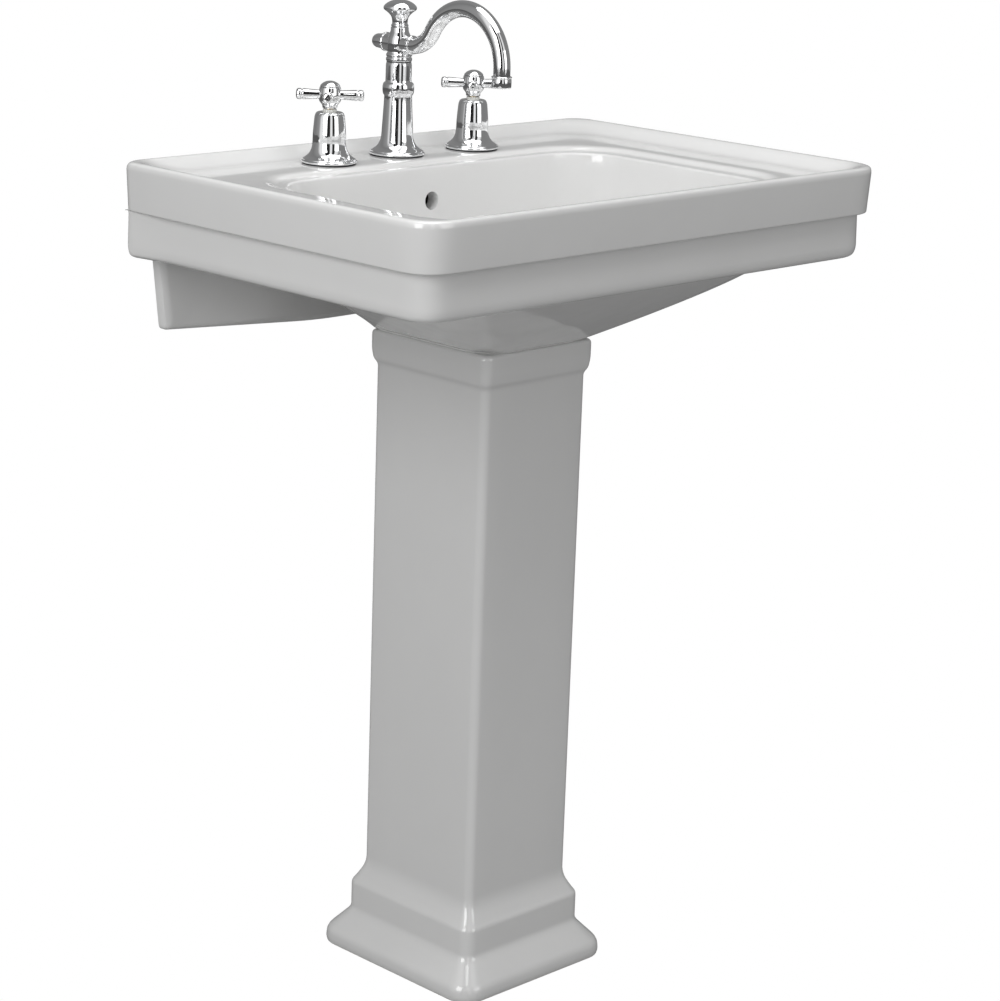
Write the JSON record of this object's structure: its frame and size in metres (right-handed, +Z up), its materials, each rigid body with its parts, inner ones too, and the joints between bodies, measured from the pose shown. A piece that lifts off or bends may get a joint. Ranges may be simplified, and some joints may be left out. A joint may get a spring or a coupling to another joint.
{
  "type": "pedestal sink",
  "caption": "Rectangular china basin with a raised lip on a square china column, with a high-spout mixer tap, cross handles and a lift-rod pop-up waste.",
  "frame": {"origin": "on the floor under the middle of the basin's outline", "axes": "+X to the right as a person at the sink sees it, +Y to the wall behind it, +Z up"},
  "size_m": [0.65, 0.44, 1.0206],
  "materials": {
    "vitreous_china": "gloss glaze",
    "polished_chrome": "polished",
    "brass": "machined",
    "copper": "drawn tube",
    "rubber": "matt",
    "white_plastic": "moulded",
    "stainless_steel": "brushed"
  },
  "bodies": {
    "sink": {"basin": "vitreous_china", "cold_cartridge": "white_plastic", "cold_escutcheon": "polished_chrome", "cold_gasket": "rubber", "cold_locknut": "brass", "cold_supply_tube": "copper", "cold_valve_body": "brass", "cold_washer": "white_plastic", "gland_nuts": "brass", "hot_cartridge": "white_plastic", "hot_escutcheon": "polished_chrome", "hot_gasket": "rubber", "hot_locknut": "brass", "hot_supply_tube": "copper", "hot_valve_body": "brass", "hot_washer": "white_plastic", "pedestal": "vitreous_china", "pivot_nut": "polished_chrome", "spout_column": "polished_chrome", "spout_gasket": "rubber", "spout_locknut": "brass", "spout_orings": "rubber", "spout_washer": "white_plastic", "supply_tee": "brass", "swivel_ring": "polished_chrome", "tailpiece": "polished_chrome", "waste_body": "polished_chrome", "waste_flange": "polished_chrome", "waste_gasket": "rubber", "waste_locknut": "brass", "waste_washer": "rubber"},
    "hot_handle": {"hot_stem": "brass", "hot_cross_handle": "polished_chrome", "hot_handle_screw": "polished_chrome", "hot_handle_cap": "polished_chrome"},
    "cold_handle": {"cold_stem": "brass", "cold_cross_handle": "polished_chrome", "cold_handle_screw": "polished_chrome", "cold_handle_cap": "polished_chrome"},
    "spout": {"spout_hub": "polished_chrome", "rear_button": "polished_chrome", "spout_tube": "polished_chrome", "aerator_housing": "polished_chrome", "aerator_insert": "white_plastic"},
    "lift": {"lift_rod": "polished_chrome", "lift_knob": "polished_chrome", "lift_strap": "stainless_steel", "clevis_screw": "brass"},
    "pivot": {"pivot_rod": "stainless_steel", "spring_clip": "stainless_steel"},
    "stopper": {"stopper": "polished_chrome", "stopper_seal": "rubber"}
  },
  "joints": [
    {"name": "hot_handle_turn", "type": "hinge", "parent": "sink", "child": "hot_handle", "pos_m": [-0.1016, 0.164, 0.922], "axis": [0, 0, 1], "range_deg": [0, 90]},
    {"name": "cold_handle_turn", "type": "hinge", "parent": "sink", "child": "cold_handle", "pos_m": [0.1016, 0.164, 0.922], "axis": [0, 0, 1], "range_deg": [-90, 0]},
    {"name": "spout_swivel", "type": "hinge", "parent": "sink", "child": "spout", "pos_m": [0, 0.172, 0.955], "axis": [0, 0, 1], "range_deg": [-60, 60]},
    {"name": "lift_rod_slide", "type": "slide", "parent": "sink", "child": "lift", "axis": [0, 0, 1], "range_m": [0, 0.03]},
    {"name": "pivot_rod_tilt", "type": "hinge", "parent": "sink", "child": "pivot", "pos_m": [0, 0.041, 0.64], "axis": [1, 0, 0], "range_deg": [0, 12.95]},
    {"name": "stopper_drop", "type": "slide", "parent": "sink", "child": "stopper", "axis": [0, 0, 1], "range_m": [-0.00605, 0]}
  ],
  "couplings": [
    {"joint": "pivot_rod_tilt", "follows": "lift_rod_slide", "rad_per_m": 7.3571},
    {"joint": "stopper_drop", "follows": "lift_rod_slide", "ratio": -0.19206}
  ]
}
